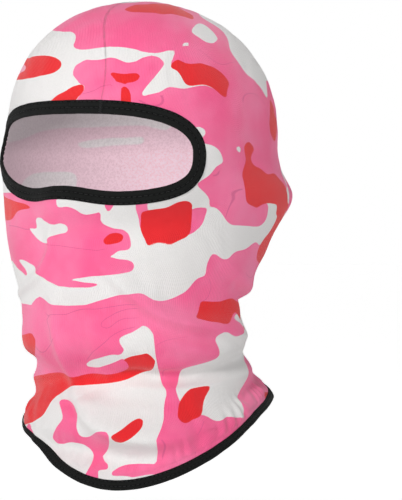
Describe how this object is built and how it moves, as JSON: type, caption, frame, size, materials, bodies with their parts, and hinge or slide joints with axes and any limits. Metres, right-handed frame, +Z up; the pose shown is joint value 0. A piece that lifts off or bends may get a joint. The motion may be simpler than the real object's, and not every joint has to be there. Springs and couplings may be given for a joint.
{
  "type": "balaclava face mask",
  "caption": "Full-face camo balaclava in stretch knit with one bound eye opening and a bound, bib-shaped hem.",
  "frame": {"origin": "inside of the crown, where the head bears", "axes": "+Z up, the face looks along -Y, the wearer's left is +X"},
  "size_m": [0.182, 0.2062, 0.3226],
  "materials": {
    "camo_knit": "matte",
    "knit_reverse": "matte",
    "black_binding": "matte",
    "black_thread": "satin",
    "pale_thread": "satin"
  },
  "bodies": {
    "root": {"left_side_panel": "camo_knit", "right_side_panel": "camo_knit", "centre_seam_allowance": "knit_reverse", "centre_seam_overlock_thread": "pale_thread", "eye_opening_binding": "black_binding", "eye_binding_needle_threads": "black_thread", "eye_binding_looper_thread": "black_thread", "eye_binding_bartack": "black_thread", "hem_binding": "black_binding", "hem_needle_threads": "black_thread", "hem_looper_thread": "black_thread", "hem_binding_bartack": "black_thread"}
  },
  "joints": []
}
